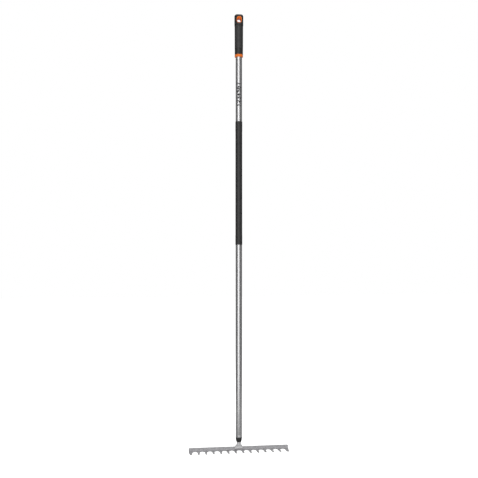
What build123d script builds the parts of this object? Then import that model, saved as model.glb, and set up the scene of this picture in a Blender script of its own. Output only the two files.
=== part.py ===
from build123d import *

import os

# Garden rake with a fixed head: an aluminium tube shaft, an end grip with a hanging eye, a
# thin sleeve at mid-shaft, and a pressed steel comb welded to a forged tang.
#
# Frame, in millimetres: the origin is the centre of the hanging eye's bore, +Z runs up the
# shaft axis, +X is to the right and the teeth point to the front, -Y.

# --- Heights on the shaft axis, measured from the hanging eye ---
CAP_TOP = 22.2
CAP_BASE = -20.0
COVER_END = -106.0
RING_TOP = -129.0
RING_END = -138.0
SLEEVE_TOP = -380.5
SLEEVE_END = -845.0
TUBE_END = -1571.0
NOSE_END = -1589.0
NECK_END = -1599.0
FOOT_TOP = -1606.8
BAR_TOP = -1608.8
FOOT_END = -1615.2
BEND_START = -1616.8

# --- Shaft tube and sleeve ---
TUBE_RADIUS = 12.0
TUBE_BORE = 10.8
SLEEVE_RADIUS = 12.75
SLEEVE_BAND_RADIUS = 13.0
SLEEVE_BAND = 36.0
SLEEVE_EDGE = 0.5
SLIP = 0.05  # radial play of a plug in the tube

# --- End cap and hanging eye ---
CAP_RADIUS = 16.7
CAP_CORNER = 5.5
CAP_EDGE = 1.0
CAP_FLAT = 13.5  # half thickness across the flats that face front and back
FLAT_FOOT = -11.0  # the flats end here and run out to the full round below
RUN_OUT_FOOT = -17.0
PLUG_LENGTH = 45.0
PLUG_ROOF = 6.0
PLUG_BORE = 8.4
EYE_BORE = 7.3
EYE_BORE_LENGTH = 15.0
EYE_RIM = 0.4  # how far the eyelet stands proud of each flat
MOUTH_WIDTH = 15.4
MOUTH_TOP = 11.6
MOUTH_FOOT = -8.8
MOUTH_CORNER = 6.0
EYELET_LAND = 1.6

# --- End grip ---
CORE_RADIUS = 13.4
COVER_RADIUS_TOP = 16.0
COVER_RADIUS_END = 15.7
COVER_EDGE = 1.2
COLLAR_RADIUS = 15.5
COLLAR_EDGE = 0.6
RING_RADIUS = 15.6
RING_TAPER = 2.0

# --- Bush, tang and rivet ---
BUSH_TOP = TUBE_END + 78.0
NOSE_RADIUS = 9.2
NOSE_SHOULDER = 11.5
TANG_RADIUS = 6.5
TANG_TOP = BUSH_TOP - 4.0
TANG_CHAMFER = 1.5
NECK_RADIUS = 8.0
RIVET_HEIGHT = TUBE_END + 6.0
RIVET_RADIUS = 2.4
RIVET_HEAD_RADIUS = 3.8
RIVET_HEAD_RISE = 1.3

# --- Head: foot, comb and welds ---
FOOT_WIDTH = 29.0
FOOT_THICKNESS = 5.0
FOOT_CORNER = 2.0
BAR_FRONT = FOOT_THICKNESS / 2  # the bar lies against the back of the foot
SHEET = 2.8
BAR_LENGTH = 378.0
BAR_CORNER = 3.0
BEND_RADIUS = 3.2  # inside the bend
BEND_ANGLE = 94.0
HOOK_RADIUS = 279.0  # above each tooth, so the teeth curl gently towards the shaft
HOOK_ANGLE = 10.4
TOOTH_COUNT = 14
TOOTH_PITCH = 27.6
GAP_ARCH_RADIUS = 9.2
GAP_ARCH_Y = -11.5  # centre of the arch at the root of each gap
GAP_MOUTH_Y = -60.0
GAP_MOUTH_HALF = 11.2
TIP_WIDTH = 5.6
TIP_CORNER = 2.0
WELD_RADIUS = 2.4
WELD_HALF_LENGTH = 12.5


def tube(outer, inner, low, high):
    """A round tube on the shaft axis; an inner radius of zero makes it solid."""
    on_base = (Align.CENTER, Align.CENTER, Align.MIN)
    body = Cylinder(outer, high - low, align=on_base)
    if inner > 0:
        body -= Cylinder(inner, high - low, align=on_base)
    return Pos(0, 0, low) * body


def revolved(points):
    """A solid of revolution about the shaft axis from (radius, height) points."""
    return revolve(Plane.XZ * make_face(Polyline(*points, close=True)), Axis.Z)


def mouth_outline(land):
    """The hanging eye's mouth on the XZ plane, grown outwards by a land."""
    height = MOUTH_TOP - MOUTH_FOOT + 2 * land
    shape = RectangleRounded(MOUTH_WIDTH + 2 * land, height, MOUTH_CORNER + land)
    return Pos(0, (MOUTH_TOP + MOUTH_FOOT) / 2) * shape


def make_eyelet_block():
    """The outside of the eyelet, which is also the pocket the cap has for it."""
    return extrude(Plane.XZ * mouth_outline(EYELET_LAND), CAP_FLAT + EYE_RIM, both=True)


def make_hanger_eyelet():
    """Liner of the hanging eye: a round bore that opens into a sloping mouth each side."""
    face_depth = CAP_FLAT + EYE_RIM
    throat = RectangleRounded(2 * EYE_BORE, 2 * EYE_BORE, EYE_BORE - 0.05)
    sections = [
        (Plane.XZ.offset(EYE_BORE_LENGTH / 2) * throat).face(),
        (Plane.XZ.offset(face_depth) * mouth_outline(0)).face(),
    ]
    mouth = loft(sections, ruled=True)
    bore = Rot(90, 0, 0) * Cylinder(EYE_BORE, 2 * face_depth)
    return make_eyelet_block() - bore - mouth - mirror(mouth, Plane.XZ)


def make_end_cap():
    """Cap with a flat front and back, a pocket for the eyelet and a plug in the tube."""
    cap = tube(CAP_RADIUS, 0, CAP_BASE, CAP_TOP)
    scoop_outline = Polyline(
        (CAP_FLAT, 2 * CAP_TOP),
        (CAP_FLAT, FLAT_FOOT),
        (CAP_RADIUS + 0.1, RUN_OUT_FOOT),
        (2 * CAP_RADIUS, RUN_OUT_FOOT),
        (2 * CAP_RADIUS, 2 * CAP_TOP),
        close=True,
    )
    scoop = extrude(Plane.YZ * make_face(scoop_outline), 2 * CAP_RADIUS, both=True)
    cap = cap - scoop - mirror(scoop, Plane.XZ)
    cap = fillet(cap.edges().group_by(Axis.Z)[-1], CAP_CORNER)
    cap = chamfer(cap.edges().group_by(Axis.Z)[0], CAP_EDGE)
    plug_foot = CAP_BASE - PLUG_LENGTH
    plug = tube(TUBE_BORE - SLIP, 0, plug_foot, CAP_BASE)
    hollow = tube(PLUG_BORE, 0, plug_foot, CAP_BASE - PLUG_ROOF)
    return cap - make_eyelet_block() + (plug - hollow)


def make_grip_core():
    """Hard sleeve under the end grip; its lower end shows as the coloured ring."""
    return revolved(
        [
            (TUBE_RADIUS, CAP_BASE),
            (CORE_RADIUS, CAP_BASE),
            (CORE_RADIUS, RING_TOP),
            (RING_RADIUS, RING_TOP),
            (RING_RADIUS, RING_END + RING_TAPER),
            (RING_RADIUS - RING_TAPER, RING_END),
            (TUBE_RADIUS, RING_END),
        ]
    )


def outer_rims(solid, beyond):
    """The circular edges of a turned piece that lie outside a radius."""
    return [
        edge
        for edge in solid.edges().filter_by(GeomType.CIRCLE)
        if edge.radius > beyond
    ]


def make_grip_cover():
    """Soft cover over the core, slightly tapered, with rounded ends."""
    cover = revolved(
        [
            (CORE_RADIUS, CAP_BASE),
            (COVER_RADIUS_TOP, CAP_BASE),
            (COVER_RADIUS_END, COVER_END),
            (CORE_RADIUS, COVER_END),
        ]
    )
    return fillet(outer_rims(cover, CORE_RADIUS + 1), COVER_EDGE)


def make_grip_collar():
    """Hard collar that closes the lower end of the soft cover."""
    collar = tube(COLLAR_RADIUS, CORE_RADIUS, RING_TOP, COVER_END)
    return chamfer(outer_rims(collar, CORE_RADIUS + 1), COLLAR_EDGE)


def make_shaft_tube():
    """Drawn aluminium tube, drilled front to back for the rivet."""
    return tube(TUBE_RADIUS, TUBE_BORE, TUBE_END, CAP_BASE) - make_rivet_hole()


def make_centre_sleeve():
    """Thin sleeve on the middle of the shaft with a slightly thicker band at each end."""
    sleeve = tube(SLEEVE_RADIUS, TUBE_RADIUS, SLEEVE_END, SLEEVE_TOP)
    sleeve += tube(SLEEVE_BAND_RADIUS, TUBE_RADIUS, SLEEVE_TOP - SLEEVE_BAND, SLEEVE_TOP)
    sleeve += tube(SLEEVE_BAND_RADIUS, TUBE_RADIUS, SLEEVE_END, SLEEVE_END + SLEEVE_BAND)
    rims = outer_rims(sleeve, SLEEVE_RADIUS + 0.1)
    ends = [edge for edge in rims if edge.center().Z in (SLEEVE_TOP, SLEEVE_END)]
    return chamfer(ends, SLEEVE_EDGE)


def make_rivet_hole():
    """Cross hole for the rivet, front to back."""
    return Pos(0, 0, RIVET_HEIGHT) * Rot(90, 0, 0) * Cylinder(RIVET_RADIUS, 4 * TUBE_RADIUS)


def make_tang_bush():
    """Plastic bush: a long plug in the tube and a tapered nose below it."""
    bush = revolved(
        [
            (TANG_RADIUS, BUSH_TOP),
            (TUBE_BORE - SLIP, BUSH_TOP),
            (TUBE_BORE - SLIP, TUBE_END),
            (TUBE_RADIUS, TUBE_END),
            (TUBE_RADIUS, TUBE_END - 3.0),
            (NOSE_SHOULDER, TUBE_END - 9.0),
            (NOSE_RADIUS, NOSE_END),
            (TANG_RADIUS, NOSE_END),
        ]
    )
    return bush - make_rivet_hole()


def make_tang_rivet():
    """Rivet through tube, bush and tang; its low domed heads sit on the tube, front and back."""
    crown = TUBE_RADIUS + RIVET_HEAD_RISE
    seat = TUBE_RADIUS - RIVET_HEAD_RISE
    dome = ThreePointArc(
        (RIVET_HEAD_RADIUS, TUBE_RADIUS),
        (RIVET_HEAD_RADIUS * 0.62, TUBE_RADIUS + RIVET_HEAD_RISE * 0.66),
        (0, crown),
    )
    sides = Polyline(
        (0, crown), (0, seat), (RIVET_HEAD_RADIUS, seat), (RIVET_HEAD_RADIUS, TUBE_RADIUS)
    )
    head = revolve(make_face([dome, sides]), Axis.Y)
    head -= Cylinder(TUBE_RADIUS, 4 * RIVET_HEAD_RADIUS)
    shank = Rot(90, 0, 0) * Cylinder(RIVET_RADIUS, 2 * TUBE_RADIUS)
    return Pos(0, 0, RIVET_HEIGHT) * (shank + head + mirror(head, Plane.XZ))


def make_head_tang():
    """Forged tang: a shank in the bush, a short neck and a flared flat foot."""
    shank = tube(TANG_RADIUS, 0, NOSE_END, TANG_TOP)
    shank = chamfer(shank.edges().group_by(Axis.Z)[-1], TANG_CHAMFER)
    neck = tube(NECK_RADIUS, 0, NECK_END, NOSE_END)
    foot_shape = RectangleRounded(FOOT_WIDTH, FOOT_THICKNESS, FOOT_CORNER)
    neck_shape = Pos(0, 0, NECK_END) * Circle(NECK_RADIUS)
    flare = loft([(Pos(0, 0, FOOT_TOP) * foot_shape).face(), neck_shape.face()])
    foot = Pos(0, 0, FOOT_END) * extrude(foot_shape, FOOT_TOP - FOOT_END)
    return shank + neck + flare + foot - make_rivet_hole()


def make_comb_section():
    """Section of the comb on the YZ plane: flat bar, bend, and a gently hooked tooth."""
    back = BAR_FRONT + SHEET
    with BuildSketch() as section:
        with BuildLine():
            bar_back = Line((back, BAR_TOP), (back, BEND_START))
            bend_below = JernArc(bar_back @ 1, bar_back % 1, BEND_RADIUS + SHEET, -BEND_ANGLE)
            hook_below = JernArc(bend_below @ 1, bend_below % 1, HOOK_RADIUS + SHEET, -HOOK_ANGLE)
            bar_front = Line((BAR_FRONT, BAR_TOP), (BAR_FRONT, BEND_START))
            bend_above = JernArc(bar_front @ 1, bar_front % 1, BEND_RADIUS, -BEND_ANGLE)
            hook_above = JernArc(bend_above @ 1, bend_above % 1, HOOK_RADIUS, -HOOK_ANGLE)
            Line(bar_front @ 0, bar_back @ 0)
            Line(hook_above @ 1, hook_below @ 1)
        make_face()
    return Plane.YZ * section.sketch


def make_gap_cutter(centre_x):
    """Prism that opens one gap: an arched root that widens towards the tooth tips."""
    left = centre_x - GAP_ARCH_RADIUS
    right = centre_x + GAP_ARCH_RADIUS
    with BuildSketch() as plan:
        with BuildLine():
            ThreePointArc(
                (left, GAP_ARCH_Y),
                (centre_x, GAP_ARCH_Y + GAP_ARCH_RADIUS),
                (right, GAP_ARCH_Y),
            )
            Polyline(
                (right, GAP_ARCH_Y),
                (centre_x + GAP_MOUTH_HALF, GAP_MOUTH_Y),
                (centre_x - GAP_MOUTH_HALF, GAP_MOUTH_Y),
                (left, GAP_ARCH_Y),
            )
        make_face()
    return Pos(0, 0, BEND_START - 20) * extrude(plan.sketch, 40)


def make_end_cutter():
    """Prism that slopes the outer edge of the right-hand end tooth towards its tip."""
    bar_end = BAR_LENGTH / 2
    tip_edge = (TOOTH_COUNT - 1) / 2 * TOOTH_PITCH + TIP_WIDTH / 2
    outline = Polyline(
        (bar_end, -4.0),
        (tip_edge, GAP_MOUTH_Y),
        (bar_end + 10, GAP_MOUTH_Y),
        (bar_end + 10, -4.0),
        close=True,
    )
    return Pos(0, 0, BEND_START - 20) * extrude(make_face(outline), 40)


def make_rake_comb():
    """One pressing: the bar, bent forward along its lower edge into fourteen teeth."""
    comb = extrude(make_comb_section(), BAR_LENGTH / 2, both=True)
    for index in range(TOOTH_COUNT - 1):
        comb -= make_gap_cutter((index - (TOOTH_COUNT - 2) / 2) * TOOTH_PITCH)
    end_cutter = make_end_cutter()
    comb = comb - end_cutter - mirror(end_cutter, Plane.YZ)
    top_corners = comb.edges().filter_by(Axis.Y).group_by(Axis.Z)[-1]
    comb = fillet(top_corners, BAR_CORNER)
    tip_face_y = comb.bounding_box().min.Y + SHEET
    tip_corners = [
        edge
        for edge in comb.edges()
        if edge.center().Y < tip_face_y and abs(edge.length - SHEET) < 0.2
    ]
    return fillet(tip_corners, TIP_CORNER)


def make_weld_bead(height, depth, blockers):
    """A weld run along X in a corner of the joint, cut back to what it lies against."""
    run = Cylinder(WELD_RADIUS, 2 * WELD_HALF_LENGTH - 2 * WELD_RADIUS)
    run += Pos(0, 0, WELD_HALF_LENGTH - WELD_RADIUS) * Sphere(WELD_RADIUS)
    run += Pos(0, 0, WELD_RADIUS - WELD_HALF_LENGTH) * Sphere(WELD_RADIUS)
    bead = Pos(0, depth, height) * Rot(0, 90, 0) * run
    for blocker in blockers:
        bead -= blocker
    return bead


os.makedirs("parts", exist_ok=True)

head_tang = make_head_tang()
rake_comb = make_rake_comb()
joined = (head_tang, rake_comb)

nodes = {
    "end_cap": make_end_cap(),
    "hanger_eyelet": make_hanger_eyelet(),
    "grip_core": make_grip_core(),
    "grip_cover": make_grip_cover(),
    "grip_collar": make_grip_collar(),
    "shaft_tube": make_shaft_tube(),
    "centre_sleeve": make_centre_sleeve(),
    "tang_bush": make_tang_bush(),
    "tang_rivet": make_tang_rivet(),
    "head_tang": head_tang,
    "rake_comb": rake_comb,
    "weld_front": make_weld_bead(FOOT_END, BAR_FRONT, joined),
    "weld_back": make_weld_bead(BAR_TOP, BAR_FRONT, joined),
}

for name, solid in nodes.items():
    export_step(solid, f"parts/{name}.step")
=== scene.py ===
"""Garden rake: visible pieces, finishes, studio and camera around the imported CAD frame."""

import logging
import math
from dataclasses import dataclass
from enum import Enum
from typing import Sequence

import bpy
import numpy as np
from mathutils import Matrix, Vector
from numpy.typing import NDArray


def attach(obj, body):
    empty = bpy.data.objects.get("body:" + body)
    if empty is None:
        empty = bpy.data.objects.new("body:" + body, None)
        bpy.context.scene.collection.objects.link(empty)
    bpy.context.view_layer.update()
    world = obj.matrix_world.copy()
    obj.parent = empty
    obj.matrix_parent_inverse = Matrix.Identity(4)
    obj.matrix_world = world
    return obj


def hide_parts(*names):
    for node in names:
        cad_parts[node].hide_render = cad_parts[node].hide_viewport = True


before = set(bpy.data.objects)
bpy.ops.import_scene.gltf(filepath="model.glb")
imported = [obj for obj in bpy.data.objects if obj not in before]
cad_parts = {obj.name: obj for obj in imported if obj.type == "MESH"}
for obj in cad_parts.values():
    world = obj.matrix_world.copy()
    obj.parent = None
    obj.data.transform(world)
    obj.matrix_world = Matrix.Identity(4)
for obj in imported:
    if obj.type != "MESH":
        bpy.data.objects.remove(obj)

Array = NDArray[np.float64]
Colour = tuple[float, float, float]
Corner = tuple[float, float, float]
Triple = tuple[float, float, float]
Span = tuple[float, float]
Inputs = dict[str | int, object]
Node = bpy.types.Node
NodeTree = bpy.types.NodeTree
Socket = bpy.types.NodeSocket
Material = bpy.types.Material
Object = bpy.types.Object

log = logging.getLogger("garden_rake")

MM = 0.001
TINY = 1e-12  # stands in for the length of a side that has none
SNUG = 0.02  # rounding of an edge that lies against another piece, in millimetres
BODY = "root"


class Slot(Enum):
    """The record's material slots, one per finish of the real tool."""

    CAP = "cap_plastic"
    ORANGE = "orange_plastic"
    COVER = "soft_cover"
    TUBE = "tube_aluminium"
    SLEEVE = "sleeve_plastic"
    BUSH = "bush_plastic"
    RIVET = "rivet_steel"
    TANG = "tang_steel"
    COMB = "comb_steel"
    WELD = "weld_steel"


class Side(Enum):
    """Which side of the tang's foot a weld lies on."""

    FRONT = -1
    BACK = 1


# ---- Surfaces worked out with numpy ----


def lattice_quads(rows: int, columns: int, close_rows: bool, close_columns: bool) -> Array:
    """Quads that join every point of a rows x columns lattice to its next row and column.

    Args:
        rows: number of lattice rows.
        columns: number of points in each row.
        close_rows: whether the last row joins the first.
        close_columns: whether each row is a closed loop.

    Returns:
        An (n, 4) array of vertex numbers.
    """
    i = np.arange(rows if close_rows else rows - 1)[:, None]
    j = np.arange(columns if close_columns else columns - 1)[None, :]
    i_next, j_next = (i + 1) % rows, (j + 1) % columns
    here, below = i * columns, i_next * columns
    corners = (here + j, below + j, below + j_next, here + j_next)
    size = (len(i), j.shape[1])
    return np.stack([np.broadcast_to(c, size) for c in corners], -1).reshape(-1, 4)


def enclosed_volume(points: Array, quads: Array, triangles: Array) -> float:
    """Signed volume inside a closed mesh: the sum of a . (b x c) / 6 over its triangles.

    Args:
        points: (n, 3) vertex positions.
        quads: (m, 4) vertex numbers.
        triangles: (k, 3) vertex numbers.

    Returns:
        The volume, positive when the faces point outwards.
    """
    split = np.concatenate([quads[:, [0, 1, 2]], quads[:, [0, 2, 3]], triangles])
    a, b, c = points[split[:, 0]], points[split[:, 1]], points[split[:, 2]]
    return float(np.einsum("ij,ij->i", a, np.cross(b, c)).sum() / 6)


def make_piece(
    name: str,
    points_mm: Array,
    quads: Array,
    triangles: Array | None = None,
    crease: float = 40.0,
) -> Object:
    """Puts a closed surface into a mesh object at the origin, faces outwards, shaded smooth.

    Args:
        name: name of the piece.
        points_mm: (n, 3) vertex positions in millimetres.
        quads: (m, 4) vertex numbers.
        triangles: (k, 3) vertex numbers of the faces that close its ends, if it has any.
        crease: edges that turn by more than this many degrees stay sharp.

    Returns:
        The new object, linked to the scene.
    """
    ends = np.zeros((0, 3), int) if triangles is None else triangles
    if enclosed_volume(points_mm - points_mm.mean(0), quads, ends) < 0:
        quads, ends = quads[:, ::-1], ends[:, ::-1]
    mesh = bpy.data.meshes.new(name)
    mesh.from_pydata((points_mm * MM).tolist(), [], quads.tolist() + ends.tolist())
    mesh.polygons.foreach_set("use_smooth", np.ones(len(mesh.polygons), bool))
    mesh.set_sharp_from_angle(angle=math.radians(crease))
    mesh.update()
    piece = bpy.data.objects.new(name, mesh)
    bpy.context.scene.collection.objects.link(piece)
    return piece


def rounded_outline(corners: Sequence[Corner], closed: bool = True, steps: int = 6) -> Array:
    """A polygon with an arc at every corner.

    Each arc touches both sides at a distance radius / tan(half the corner's angle) from the
    corner, and its centre is radius / sin(half the angle) along the corner's bisector.

    Args:
        corners: (across, up, radius) of each corner, in order.
        closed: whether the last corner joins the first; an open outline keeps its two ends.
        steps: parts in each arc.

    Returns:
        (n, 2) points.
    """
    given = np.array(corners, float)
    here, radius = given[:, :2], given[:, 2:]
    before, after = np.roll(here, 1, 0) - here, np.roll(here, -1, 0) - here
    before /= np.linalg.norm(before, axis=1, keepdims=True) + TINY
    after /= np.linalg.norm(after, axis=1, keepdims=True) + TINY
    half = np.arccos(np.clip((before * after).sum(1, keepdims=True), -1, 1)) / 2
    bisector = before + after
    bisector /= np.linalg.norm(bisector, axis=1, keepdims=True) + TINY
    centre = here + bisector * radius / np.sin(half)
    first = here + before * radius / np.tan(half) - centre
    last = here + after * radius / np.tan(half) - centre
    begin = np.arctan2(first[:, 1:], first[:, :1])
    sweep = (np.arctan2(last[:, 1:], last[:, :1]) - begin + np.pi) % (2 * np.pi) - np.pi
    angle = begin + sweep * np.linspace(0, 1, steps + 1)
    arcs = centre[:, None] + radius[:, None] * np.stack([np.cos(angle), np.sin(angle)], -1)
    if closed:
        return arcs.reshape(-1, 2)
    return np.concatenate([here[:1], arcs[1:-1].reshape(-1, 2), here[-1:]])


def even_out(outline: Array, longest: float, closed: bool = True) -> Array:
    """Adds points along an outline's straight runs, by linear interpolation on its length.

    Args:
        outline: (n, 2) points.
        longest: no run stays longer than this.
        closed: whether the last point joins the first.

    Returns:
        (m, 2) points that hold all the given ones.
    """
    path = np.vstack([outline, outline[:1]]) if closed else outline
    lengths = np.concatenate([[0], np.cumsum(np.linalg.norm(np.diff(path, axis=0), axis=1))])
    parts = np.maximum(1, np.ceil(np.diff(lengths) / longest)).astype(int)
    starts = np.repeat(lengths[:-1], parts)
    step = np.repeat(np.diff(lengths) / parts, parts)
    nth = np.arange(len(starts)) - np.repeat(np.cumsum(parts) - parts, parts)
    places = starts + step * nth
    if not closed:
        places = np.append(places, lengths[-1])
    return np.stack([np.interp(places, lengths, path[:, k]) for k in (0, 1)], 1)


def turned(
    name: str, corners: Sequence[Corner], longest: float, around: int = 128
) -> Object:
    """A turned piece: a closed outline of (radius, height) carried once round the shaft axis.

    The surface is (r(t) cos a, r(t) sin a, z(t)), with t along the outline and a the angle.

    Args:
        name: name of the piece.
        corners: (radius, height, rounding) of the outline's corners, in millimetres.
        longest: longest run along the outline, in millimetres.
        around: number of divisions round the axis.

    Returns:
        The new object.
    """
    outline = even_out(rounded_outline(corners), longest)
    angle = np.arange(around) * 2 * np.pi / around
    radius, height = outline[:, :1], outline[:, 1:]
    rise = np.broadcast_to(height, (len(outline), around))
    points = np.stack([radius * np.cos(angle), radius * np.sin(angle), rise], -1).reshape(-1, 3)
    return make_piece(name, points, lattice_quads(len(outline), around, True, True))


# ---- Node groups shared by the finishes ----


class Sheet:
    """A node tree with short calls for adding and joining nodes."""

    def __init__(self, tree: NodeTree) -> None:
        """Keeps the tree that the calls work on."""
        self.tree = tree

    def add(self, kind: str, inputs: Inputs | None = None, **settings: object) -> Node:
        """Adds a node.

        Args:
            kind: the node's type, without its "ShaderNode" prefix.
            inputs: value or output socket for each named or numbered input.
            **settings: properties of the node itself.

        Returns:
            The new node.
        """
        node = self.tree.nodes.new("ShaderNode" + kind)
        for key, value in settings.items():
            setattr(node, key, value)
        self.feed(node, inputs or {})
        return node

    def feed(self, node: Node, inputs: Inputs) -> None:
        """Sets or links inputs of a node.

        Args:
            node: the node.
            inputs: by name or number; an output socket is linked, anything else is set.
        """
        for key, value in inputs.items():
            if isinstance(value, Socket):
                self.tree.links.new(value, node.inputs[key])
            else:
                node.inputs[key].default_value = value

    def math(self, operation: str, a: object, b: object = 0.0, clamp: bool = False) -> Socket:
        """Adds a Math node and returns its output."""
        node = self.add("Math", {0: a, 1: b}, operation=operation, use_clamp=clamp)
        return node.outputs[0]

    def remap(
        self, value: object, low: float, high: float, to_low: float = 0.0, to_high: float = 1.0
    ) -> Socket:
        """Carries a value from one range to another, held at the ends, and returns the output."""
        node = self.add("MapRange", {0: value, 1: low, 2: high, 3: to_low, 4: to_high}, clamp=True)
        return node.outputs[0]

    def blend(self, mask: object, a: object, b: object) -> Socket:
        """Mixes two colours by a mask and returns the colour."""
        node = self.add("Mix", {0: mask, 6: a, 7: b}, data_type="RGBA", clamp_factor=True)
        return node.outputs[2]

    def place(self) -> Socket:
        """Object coordinates."""
        return self.add("TexCoord").outputs["Object"]

    def noise(self, vector: Socket, scale: object, detail: float, **more: float) -> Socket:
        """Adds a Noise Texture node and returns its grey output."""
        inputs = {"Vector": vector, "Scale": scale, "Detail": detail, **more}
        return self.add("TexNoise", inputs).outputs["Fac"]

    def group(self, tree: NodeTree, inputs: Inputs) -> Node:
        """Places a node group with its own values.

        Args:
            tree: the group.
            inputs: value or output socket for each of its inputs.

        Returns:
            The node that holds the group.
        """
        node = self.add("Group")
        node.node_tree = tree
        self.feed(node, inputs)
        return node


def rgba(colour: Colour) -> tuple[float, float, float, float]:
    """The colour with an alpha of 1."""
    return (*colour, 1.0)


def new_group(
    name: str, inputs: dict[str, tuple[str, object]], outputs: dict[str, str]
) -> tuple[Sheet, Node, Node]:
    """Starts a node group with named sockets.

    Args:
        name: the group's name.
        inputs: socket kind ("Float", "Vector" or "Color") and starting value by name.
        outputs: socket kind by name.

    Returns:
        The group's sheet, its input node and its output node.
    """
    tree = bpy.data.node_groups.new(name, "ShaderNodeTree")
    for label, (kind, value) in inputs.items():
        socket = tree.interface.new_socket(label, in_out="INPUT", socket_type="NodeSocket" + kind)
        socket.default_value = value
    for label, kind in outputs.items():
        tree.interface.new_socket(label, in_out="OUTPUT", socket_type="NodeSocket" + kind)
    entry, leave = tree.nodes.new("NodeGroupInput"), tree.nodes.new("NodeGroupOutput")
    return Sheet(tree), entry, leave


class Effects:
    """The surface effects that several finishes share, each one node group built once.

    A spread is the two values of a noise, an angle or a slope that become nought and one.
    """

    FINE_GRAIN = 3.3  # scale of the fine grain against the coarse
    FINE_SHARE = 0.45  # its height against the coarse
    GRAIN_SPREAD = (0.38, 0.64)
    DRIFT_SPREAD = (0.32, 0.68)
    EDGE_SPREAD = (0.01, 0.16)
    PATCH_SPREAD = (0.40, 0.62)
    LEAST_PATCH = 0.15  # wear that is left between the patches
    LEVEL_SPREAD = (-0.2, 1.0)
    LEAST_DUST = 0.25  # dust that is left on surfaces that face down
    DUST_SPREAD = (0.42, 0.72)
    DUST_SCALE = 190.0

    def __init__(self) -> None:
        """Builds the four groups."""
        self.grain = self._grain()
        self.drift = self._drift()
        self.edge_wear = self._edge_wear()
        self.dust = self._dust()

    @staticmethod
    def _grain() -> NodeTree:
        """Two sizes of noise, drawn out along the way the surface was worked.

        Returns:
            The group.
        """
        sheet, entry, leave = new_group(
            "worked_grain",
            {"Scale": ("Float", 900.0), "Draw": ("Vector", (1.0, 1.0, 1.0))},
            {"Height": "Float", "Mask": "Float"},
        )
        both = {0: sheet.place(), 1: entry.outputs["Draw"]}
        drawn = sheet.add("VectorMath", both, operation="MULTIPLY").outputs[0]
        scale = entry.outputs["Scale"]
        coarse = sheet.noise(drawn, scale, 3.0)
        fine = sheet.noise(drawn, sheet.math("MULTIPLY", scale, Effects.FINE_GRAIN), 1.0)
        height = sheet.math("ADD", coarse, sheet.math("MULTIPLY", fine, Effects.FINE_SHARE))
        mask = sheet.remap(coarse, *Effects.GRAIN_SPREAD)
        sheet.feed(leave, {"Height": height, "Mask": mask})
        return sheet.tree

    @staticmethod
    def _drift() -> NodeTree:
        """Slow, cloudy change from one colour to another over the piece.

        Returns:
            The group.
        """
        sheet, entry, leave = new_group(
            "tone_drift",
            {
                "Colour": ("Color", (0.5, 0.5, 0.5, 1.0)),
                "Drift": ("Color", (0.6, 0.6, 0.6, 1.0)),
                "Scale": ("Float", 60.0),
            },
            {"Colour": "Color", "Mask": "Float"},
        )
        cloud = sheet.noise(sheet.place(), entry.outputs["Scale"], 5.0, Distortion=0.4)
        mask = sheet.remap(cloud, *Effects.DRIFT_SPREAD)
        colour = sheet.blend(mask, entry.outputs["Colour"], entry.outputs["Drift"])
        sheet.feed(leave, {"Colour": colour, "Mask": mask})
        return sheet.tree

    @staticmethod
    def _edge_wear() -> NodeTree:
        """A mask along sharp edges: one minus the normal's dot with the rounded normal.

        Returns:
            The group.
        """
        sheet, entry, leave = new_group(
            "edge_wear",
            {
                "Reach": ("Float", 0.0006),
                "Amount": ("Float", 1.0),
                "Scale": ("Float", 500.0),
            },
            {"Mask": "Float"},
        )
        round_normal = sheet.add("Bevel", {"Radius": entry.outputs["Reach"]}, samples=4)
        normal = sheet.add("NewGeometry").outputs["Normal"]
        both = {0: round_normal.outputs[0], 1: normal}
        dot = sheet.add("VectorMath", both, operation="DOT_PRODUCT")
        turn = sheet.math("SUBTRACT", 1.0, dot.outputs["Value"])
        edge = sheet.remap(turn, *Effects.EDGE_SPREAD)
        noise = sheet.noise(sheet.place(), entry.outputs["Scale"], 4.0)
        patch = sheet.remap(noise, *Effects.PATCH_SPREAD, Effects.LEAST_PATCH)
        worn = sheet.math("MULTIPLY", edge, patch)
        mask = sheet.math("MULTIPLY", worn, entry.outputs["Amount"], clamp=True)
        sheet.feed(leave, {"Mask": mask})
        return sheet.tree

    @staticmethod
    def _dust() -> NodeTree:
        """A thin pale film in patches, heaviest where the surface faces up.

        Returns:
            The group.
        """
        sheet, entry, leave = new_group(
            "dust_film",
            {
                "Colour": ("Color", (0.5, 0.5, 0.5, 1.0)),
                "Dust": ("Color", (0.42, 0.40, 0.37, 1.0)),
                "Amount": ("Float", 0.1),
            },
            {"Colour": "Color", "Mask": "Float"},
        )
        normal = sheet.add("SeparateXYZ", {0: sheet.add("NewGeometry").outputs["Normal"]})
        level = sheet.remap(normal.outputs["Z"], *Effects.LEVEL_SPREAD, Effects.LEAST_DUST)
        noise = sheet.noise(sheet.place(), Effects.DUST_SCALE, 7.0, Roughness=0.62)
        patch = sheet.remap(noise, *Effects.DUST_SPREAD)
        film = sheet.math("MULTIPLY", level, patch)
        mask = sheet.math("MULTIPLY", film, entry.outputs["Amount"], clamp=True)
        colour = sheet.blend(mask, entry.outputs["Colour"], entry.outputs["Dust"])
        sheet.feed(leave, {"Colour": colour, "Mask": mask})
        return sheet.tree


# ---- Finishes ----


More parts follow.
